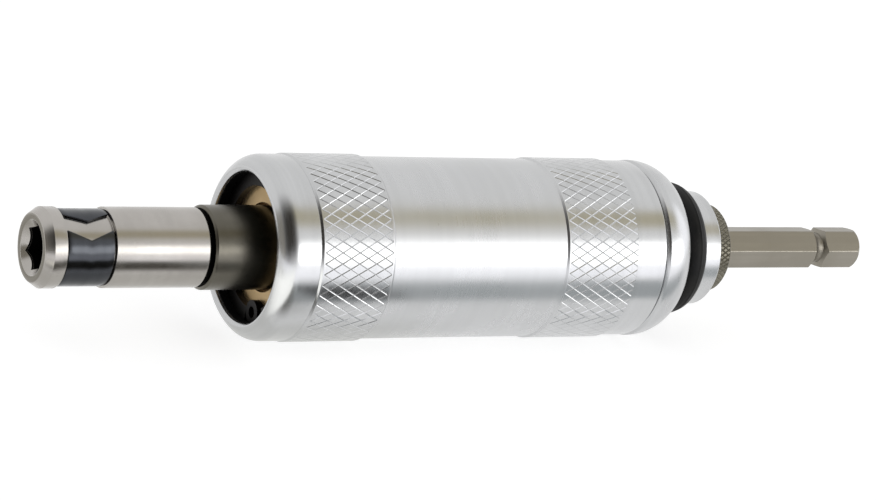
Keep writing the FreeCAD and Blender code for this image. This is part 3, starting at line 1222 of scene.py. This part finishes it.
@dataclass
class FrontBearing(Assembly):
    """What shows in the barrel's mouth: the eyed snap ring and the washer behind it."""

    ring_inner: float = 9.7
    gap_turn: float = 257.0
    lug_spread: float = 26.0
    lug_radius: float = 1.95
    lug_inset: float = 2.35
    eye_radius: float = 0.95
    clip_edge: float = 0.08
    clip_steps: int = 120
    washer_bore: float = 7.025
    washer_edge: float = 0.12

    def build(self) -> None:
        """Makes the snap ring and the washer."""
        install(self.snap_ring(), self.finishes.clip, "housing", "front_snap_ring")
        install(self.washer(), self.finishes.brass, "housing", "front_washer")

    def snap_ring(self) -> Piece:
        """Bends the open ring, adds its two lugs and punches their eyes.

        Returns:
            The snap ring.
        """
        front, rear, radius = extent("front_snap_ring")
        lug_pitch = radius - self.lug_inset
        half_gap = self.lug_spread - math.degrees(math.asin(self.lug_radius / lug_pitch))
        clip = shaped("plane", "eyed_snap_ring", size=1, rotation=(math.pi / 2, 0, 0))
        width = radius - self.ring_inner
        with editing(clip):
            bpy.ops.transform.resize(
                value=((rear - front) * MM, 1, width * MM), center_override=(0, 0, 0)
            )
            bpy.ops.transform.translate(
                value=((front + rear) / 2 * MM, 0, (radius - width / 2) * MM)
            )
        clip.rotation_euler = (-math.radians(self.gap_turn + half_gap - 90), 0, 0)
        settle(clip)
        with editing(clip):
            bpy.ops.mesh.spin(
                steps=self.clip_steps, angle=math.radians(360 - 2 * half_gap),
                center=(0, 0, 0), axis=(-1, 0, 0),
            )
        weld(clip)
        lugs = [
            around(self.gap_turn + side * self.lug_spread, lug_pitch, front) for side in (-1, 1)
        ]
        for place in lugs:
            carve(clip, rod(place, ALONG, rear - front, self.lug_radius), "UNION")
        for place in lugs:
            eye = rod(place - ALONG * MM, ALONG, rear - front + 2, self.eye_radius, sides=32)
            carve(clip, eye)
        break_edges(clip, self.clip_edge)
        smooth(clip)
        return clip

    def washer(self) -> Piece:
        """Turns the brass washer.

        Returns:
            The washer.
        """
        front, rear, radius = extent("front_washer")
        bore = self.washer_bore
        washer = turned(
            "brass_washer",
            [(front, bore), (front, radius), (rear, radius), (rear, bore), (front, bore)],
            SMALL_SEGMENTS,
        )
        break_edges(washer, self.washer_edge)
        smooth(washer)
        return washer


@dataclass
class RearEnd(Assembly):
    """The end cap with its sealing ring, and the drive shank with its lock ring."""

    cap_radius: float = 14.58
    seam: float = 0.45
    land_rear: float = 106.6
    shoulder_rear: float = 111.1
    shoulder_radius: float = 6.6
    hub_radius: float = 9.18
    flange_radius: float = 9.476
    groove: Point = (112.95, 116.55)
    groove_radius: float = 7.476
    ring_section: float = 1.75
    flash_width: float = 0.18
    flash_height: float = 0.06
    thread_radius: float = 12.28
    barrel_rear: float = 105.75
    cap_edge: float = 0.07
    lock_ring_edge: float = 0.28
    knurl_drop: float = 0.04
    knurl_gap: float = 0.05
    stud_radius: float = 4.996
    stud_clearance: float = 0.03
    stud_inset: float = 0.2
    hex_af: float = 6.35
    hex_turn: float = 8.0
    hex_edge: float = 0.16
    end_round: float = 1.3
    end_taper: float = 0.75
    bit_groove_front: float = 143.3
    bit_groove_rear: float = 146.3
    bit_groove_floor: float = 2.575
    bit_groove_flat: float = 0.5

    def build(self) -> None:
        """Makes the cap, its ring, the shank and its lock ring."""
        install(self.cap(), self.finishes.cap, "housing", "end_cap")
        install(self.sealing_ring(), self.finishes.rubber, "housing", "cap_sealing_ring")
        install(self.lock_ring(), self.finishes.lock_ring, "housing", "shank_lock_ring")
        install(self.shank(), self.finishes.shank, "housing", "drive_shank")

    def cap(self) -> Piece:
        """Turns the end cap inside and out.

        Returns:
            The cap.
        """
        front, rear, _ = extent("end_cap")
        bore = self.stud_radius + self.stud_clearance
        groove_front, groove_rear = self.groove
        run = self.shoulder_rear - self.land_rear
        drop = self.shoulder_radius - math.sqrt(self.shoulder_radius**2 - run**2)
        start = (self.land_rear, self.cap_radius)
        middle = (self.land_rear, self.cap_radius - self.shoulder_radius)
        end = (self.shoulder_rear, self.cap_radius - drop)
        clip_front, clip_rear, clip_radius = extent("adjuster_snap_ring")
        recess_end, recess = extent("adjuster_washer")[1:]
        recess += FIT
        cap = turned(
            "screw_cap",
            [
                (front, recess),
                (front, self.thread_radius - EDGE),
                (front + EDGE, self.thread_radius),
                (self.barrel_rear, self.thread_radius),
                (self.barrel_rear, self.cap_radius - self.seam),
                (self.barrel_rear + self.seam, self.cap_radius),
                start,
                *bend(start, end, middle, 14),
                (self.shoulder_rear, self.hub_radius),
                (groove_front, self.hub_radius),
                (groove_front, self.groove_radius),
                (groove_rear, self.groove_radius),
                (groove_rear, self.flange_radius),
                (rear - EDGE, self.flange_radius),
                (rear, self.flange_radius - EDGE),
                (rear, bore),
                (recess_end, bore),
                (recess_end, recess),
                (clip_rear + FIT, recess),
                (clip_rear + FIT, clip_radius + FIT),
                (clip_front - FIT, clip_radius + FIT),
                (clip_front - FIT, recess),
                (front, recess),
            ],
        )
        break_edges(cap, self.cap_edge)
        smooth(cap)
        return cap

    def sealing_ring(self) -> Piece:
        """Moulds the rubber ring, with its fine flash line round the outside.

        Returns:
            The ring.
        """
        front, rear, radius = extent("cap_sealing_ring")
        middle = ((front + rear) / 2, radius - self.ring_section)
        half = self.flash_width / 2
        crest = half * 0.4
        section = self.ring_section - self.flash_height
        foot = middle[1] + math.sqrt(section**2 - half**2)
        left = (middle[0] - half, foot)
        right = (middle[0] + half, foot)
        bottom = (middle[0], middle[1] - section)
        ring = turned(
            "rubber_ring",
            [
                left,
                (middle[0] - crest, radius),
                (middle[0] + crest, radius),
                right,
                *bend(right, bottom, middle, 20),
                *bend(bottom, left, middle, 20),
            ],
            SMALL_SEGMENTS,
        )
        smooth(ring, 60)
        return ring

    def lock_ring(self) -> Piece:
        """Turns the lock ring and knurls its rim.

        Returns:
            The lock ring.
        """
        front, rear, radius = extent("shank_lock_ring")
        bore = self.stud_radius + FIT
        edge = self.lock_ring_edge
        ring = turned(
            "knurled_lock_ring",
            [
                (front + edge, radius - self.knurl_drop),
                (front, radius - edge),
                (front, bore),
                (rear, bore),
                (rear, radius - edge),
                (rear - edge, radius - self.knurl_drop),
            ],
            SMALL_SEGMENTS,
        )
        gap = self.knurl_gap
        knurl = Knurl(
            radius, front + edge + gap, rear - edge - gap,
            starts=56, helix=33.0, groove_width=0.3, groove_depth=0.12,
        )
        ring = joined([ring, knurl.band()])
        bridge(ring, front - 2 * gap, front + edge + 2 * gap)
        bridge(ring, rear - edge - 2 * gap, rear + 2 * gap)
        weld(ring)
        smooth(ring)
        return ring

    def shank(self) -> Piece:
        """Rounds the hex bar's end, grooves it and adds the stud that screws into the cap.

        Returns:
            The shank.
        """
        front, rear, _ = extent("drive_shank")
        stud_rear = extent("shank_lock_ring")[1] - self.stud_inset
        shank = hex_bar(stud_rear - 1, rear, self.hex_af, self.hex_turn)
        shank.name = shank.data.name = "hex_drive_shank"
        break_edges(shank, self.hex_edge, segments=3, angle=50)
        corner = self.hex_af / math.sqrt(3)
        start = (rear - self.end_round, corner + FIT)
        end = (rear, corner - self.end_taper)
        reach = (self.end_round**2 + self.end_taper**2) / (2 * self.end_taper)
        envelope = turned(
            "envelope",
            [
                (stud_rear - 0.5, corner + FIT),
                start,
                *bend(start, end, (start[0], start[1] - reach), 10),
            ],
        )
        close_ends(envelope)
        carve(shank, envelope, "INTERSECT")
        carve(shank, self.bit_groove(corner))
        stud = turned(
            "stud",
            [
                (front, self.stud_radius - EDGE),
                (front + EDGE, self.stud_radius),
                (stud_rear - EDGE, self.stud_radius),
                (stud_rear, self.stud_radius - EDGE),
            ],
            SMALL_SEGMENTS,
        )
        close_ends(stud)
        carve(shank, stud, "UNION")
        smooth(shank)
        return shank

    def bit_groove(self, corner: float) -> Piece:
        """Turns the cutter of the bit groove: a long curved flank, a floor and a steep wall.

        Args:
            corner: The hex's radius at its corners.

        Returns:
            The cutter, as a closed ring.
        """
        top = corner + EDGE
        rise = top - self.bit_groove_floor
        floor_rear = self.bit_groove_rear - rise / 2
        floor_front = floor_rear - self.bit_groove_flat
        run = floor_front - self.bit_groove_front
        radius = (run**2 + rise**2) / (2 * rise)
        start = (self.bit_groove_front, top)
        floor = (floor_front, self.bit_groove_floor)
        return turned(
            "bit_groove",
            [
                (self.bit_groove_front, top + 1),
                start,
                *bend(start, floor, (floor_front, self.bit_groove_floor + radius), 10),
                (floor_rear, self.bit_groove_floor),
                (self.bit_groove_rear, top),
                (self.bit_groove_rear, top + 1),
                (self.bit_groove_front, top + 1),
            ],
        )


@dataclass
class ClutchSpring(Assembly):
    """The torque spring, in a front and a rear half."""

    wire: float = 2.6
    turns: float = 4.5
    wire_sides: int = 20
    steps_a_turn: int = 40

    def build(self) -> None:
        """Winds the spring and cuts it into a front and a rear half."""
        front, rear, _ = extent("torque_spring")
        middle = (front + rear) / 2
        for name, body, low, high in (
            ("torque_spring_front", "clutch_plate", front, middle),
            ("torque_spring_rear", "travelling_seat", middle, rear),
        ):
            half = self.wound(name, front, rear)
            for place, side in ((low, -1), (high, 1)):
                with editing(half):
                    trim((place, 0, 0), (side, 0, 0), use_fill=True)
            smooth(half, 40)
            nodes = ("torque_spring",) if body == "travelling_seat" else ()
            install(half, self.finishes.spring, "", *nodes)
            if body == "clutch_plate":
                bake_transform(half)
            else:
                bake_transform(half)

    def wound(self, name: str, front: float, rear: float) -> Piece:
        """Winds the wire into a coil that is longer than the spring at both ends.

        Args:
            name: The coil's name.
            front: Where the spring starts along the tool.
            rear: Where it ends.

        Returns:
            The coil, with its ends still open.
        """
        radius = extent("torque_spring")[2] - self.wire / 2
        pitch = (rear - front - self.wire) / self.turns
        coil = shaped(
            "circle", name, vertices=self.wire_sides, radius=self.wire / 2 * MM,
            location=(radius * MM, 0, 0), rotation=(math.pi / 2, 0, 0),
        )
        modify(
            coil, "SCREW", axis="Z", screw_offset=pitch * MM, use_normal_calculate=True,
            iterations=math.ceil(self.turns) + 2, steps=self.steps_a_turn,
            render_steps=self.steps_a_turn,
        )
        coil.rotation_euler = (0, math.pi / 2, 0)
        coil.location.x = (front - pitch) * MM
        settle(coil)
        weld(coil)
        return coil


# ---- studio -----------------------------------------------------------------------------------
def facing(place: Place, aim: Place) -> Euler:
    """Works out the turn of a lamp or a card that faces its aim and is level along the tool.

    Args:
        place: Where it stands.
        aim: What its -Z side faces.

    Returns:
        Its turn.
    """
    outwards = (Vector(place) - Vector(aim)).normalized()
    across = (ALONG - outwards * ALONG.dot(outwards)).normalized()
    upwards = outwards.cross(across)
    return Matrix([(across[k], upwards[k], outwards[k]) for k in range(3)]).to_euler()


@dataclass(frozen=True)
class Lamp:
    """A soft rectangular lamp, whose glow is 1 where its face is white."""

    name: str
    place: Place
    aim: Place
    size: Point
    glow: float

    def add(self) -> None:
        """Adds the lamp to the scene."""
        data = bpy.data.lights.new(self.name, "AREA")
        data.shape = "RECTANGLE"
        data.size, data.size_y = (side * MM for side in self.size)
        data.energy = self.glow * math.pi * data.size * data.size_y
        lamp = bpy.data.objects.new(self.name, data)
        bpy.context.scene.collection.objects.link(lamp)
        lamp.location = Vector(self.place) * MM
        lamp.rotation_euler = facing(self.place, self.aim)


@dataclass(frozen=True)
class Card:
    """A card that shows only in reflections, with its colour on the side that faces its aim.

    Its soft edges begin both ways at the solid shares of its size from its middle.
    """

    name: str
    place: Place
    aim: Place
    size: Point
    color: Color
    solid: Point = (0.25, 0.25)

    def add(self) -> None:
        """Adds the card to the scene."""
        deselect()
        bpy.ops.mesh.primitive_plane_add(size=1)
        card = bpy.context.object
        card.name = self.name.replace(" ", "_")
        card.scale = (self.size[0] * MM, self.size[1] * MM, 1)
        card.rotation_euler = facing(self.place, self.aim)
        card.location = Vector(self.place) * MM
        card.data.materials.append(self.material())
        card.visible_camera = False
        card.visible_diffuse = False
        card.visible_transmission = False
        card.visible_shadow = False

    def material(self) -> bpy.types.Material:
        """Builds the card's colour, which fades out towards its edges.

        Returns:
            The material.
        """
        material, board = opened(self.name)
        place = board.add("ShaderNodeTexCoord").outputs["Object"]
        apart = board.add("ShaderNodeSeparateXYZ", {0: place}).outputs
        shares = [
            board.ramp(board.math("ABSOLUTE", apart[k]), self.solid[k], 0.5, 1.0, 0.0)
            for k in range(2)
        ]
        glow = board.add("ShaderNodeEmission", {"Color": (*self.color, 1), "Strength": 1.0})
        clear = board.add("ShaderNodeBsdfTransparent")
        front = board.add("ShaderNodeNewGeometry").outputs["Backfacing"]
        share = board.math("MULTIPLY", board.math("MULTIPLY", *shares), front)
        board.finish(board.mix(share, clear, glow))
        return material


def floor_card(name: str, x: float, y: float, z: float, *look) -> Card:
    """A card that faces straight up.

    Args:
        name: The card's name.
        x: Its place along the tool.
        y: Its place across it.
        z: Its height.
        look: Its size, its colour and where its edges start to fade.
    """
    return Card(name, (x, y, z), (x, y, 9), *look)


@dataclass
class Studio:
    """The floor, the lamps, the reflector cards, the world and the camera."""

    camera_station: float = -198.6
    camera_distance: float = 467.2
    camera_rise: float = 20.0
    look_across: float = 0.4994
    lens: float = 137.55
    shift: float = -0.0031
    floor_width: float = 8000.0
    floor_tone: float = 0.52
    floor_glow: float = 0.73
    world_light: float = 0.6
    lights: tuple[Union[Lamp, Card], ...] = (
        Lamp("key softbox", (670, -760, 168), (60, 0, 0), (1300, 430), 1.0),
        Lamp("key core", (720, -750, 160), (60, 0, 0), (1200, 300), 1.4),
        Card(
            "warm card", (300, -500, 760), (300, 0, 0), (2400, 600), (0.60, 0.55, 0.40),
            (0.4, 0.1),
        ),
        Card(
            "dark card", (-172, -272, 235), (37, -5, 0), (880, 840), (0.03, 0.026, 0.022),
            (0.14, 0.14),
        ),
        floor_card("floor glare", 250, -190, -14.6, (1100, 284), (1.6, 1.6, 1.66), (0.4, 0.45)),
        floor_card("floor card", 90, -34, -14.4, (260, 26), (0.50, 0.53, 0.54), (0.2, 0.38)),
        floor_card("floor line", 9, -30, -14.2, (88, 34), (0.08, 0.075, 0.06)),
        floor_card("floor patch", 58, -32, -14.2, (22, 20), (0.06, 0.06, 0.06)),
        floor_card("floor left", -30, 42, -14.2, (70, 100), (0.46, 0.45, 0.41)),
        # painted shadow: a grey card under the tool stands for its own shadow on the floor, seen
        # only in reflections
        floor_card("painted contact shadow card", 24, -5, -14.1, (110, 20), (0.84, 0.84, 0.82)),
        floor_card("collar card", -20, -28, -14, (26, 18), (1.5, 1.5, 1.42)),
        Card(
            "left card", (-420, -60, 60), (0, 4, -2), (360, 420), (0.32, 0.30, 0.26), (0.4, 0.4)
        ),
        Card("end card", (560, -60, 135), (100, -12, 4), (480, 330), (1.6, 1.6, 1.65)),
        Card("mouth card", (34.5, -23, -6), (60, -17, -6), (30, 16), (1.7, 1.7, 1.65)),
    )

    def build(self) -> None:
        """Sets up everything around the tool."""
        self.add_camera()
        self.add_floor()
        self.add_world()
        for light in self.lights:
            light.add()
        bpy.context.scene.view_settings.view_transform = "Standard"

    def add_camera(self) -> None:
        """Places the camera level with its picture along the tool's axis, and above it."""
        rise = math.radians(self.camera_rise)
        inwards = Vector((0, math.cos(rise), -math.sin(rise)))
        look = ALONG * self.look_across + inwards * math.sqrt(1 - self.look_across**2)
        up = ALONG.cross(inwards)
        right = look.cross(up)
        data = bpy.data.cameras.new("camera")
        data.lens = self.lens
        data.shift_y = self.shift
        data.clip_start = 0.01
        camera = bpy.data.objects.new("camera", data)
        bpy.context.scene.collection.objects.link(camera)
        place = ALONG * self.camera_station - inwards * self.camera_distance
        turn = [(right[k], up[k], -look[k]) for k in range(3)]
        camera.rotation_euler = Matrix(turn).to_euler()
        camera.location = place * MM
        bpy.context.scene.camera = camera

    def add_floor(self) -> None:
        """Lays a wide pale floor under the tool, which can be seen through from below."""
        deselect()
        bpy.ops.mesh.primitive_plane_add(
            size=self.floor_width * MM, location=(0, 0, cad_box[0].z)
        )
        floor = bpy.context.object
        floor.name = "floor"
        material, board = opened("pale floor")
        diffuse = board.add("ShaderNodeBsdfDiffuse", {"Color": (*(self.floor_tone,) * 3, 1)})
        strength = board.math("MULTIPLY", self.seen(board), self.floor_glow)
        glow = board.add("ShaderNodeEmission", {"Strength": strength})
        both = board.add("ShaderNodeAddShader", {0: diffuse.outputs[0], 1: glow.outputs[0]})
        clear = board.add("ShaderNodeBsdfTransparent")
        below = board.add("ShaderNodeNewGeometry").outputs["Backfacing"]
        board.finish(board.mix(below, both, clear))
        floor.data.materials.append(material)

    def seen(self, board: Board) -> Socket:
        """Tells what is seen from what only lights.

        Args:
            board: The material's or the world's board.

        Returns:
            1 for what the camera sees, straight or in metal and glass, and 0 for light.
        """
        path = board.add("ShaderNodeLightPath").outputs
        either = board.math("MAXIMUM", path["Is Camera Ray"], path["Is Glossy Ray"])
        return board.math("MAXIMUM", either, path["Is Transmission Ray"])

    def add_world(self) -> None:
        """Surrounds the tool with white that lights it only softly."""
        world = bpy.data.worlds.new("studio")
        bpy.context.scene.world = world
        world.use_nodes = True
        board = Board(world.node_tree)
        extra = 1 - self.world_light
        strength = board.math("MULTIPLY_ADD", self.seen(board), extra, self.world_light)
        background = board.add(
            "ShaderNodeBackground", {"Color": (1, 1, 1, 1), "Strength": strength}
        )
        board.finish(background, "ShaderNodeOutputWorld")


def main() -> None:
    """Builds the tool piece by piece, then the studio around it."""
    logging.basicConfig(level=logging.INFO, format="%(name)s: %(message)s")
    finishes = Finishes()
    for assembly in (BitEnd, Spindle, Barrel, FrontBearing, RearEnd, ClutchSpring):
        assembly(finishes).build()
    finishes.dress_inner_works()
    Studio().build()


if __name__ == "__main__":
    main()
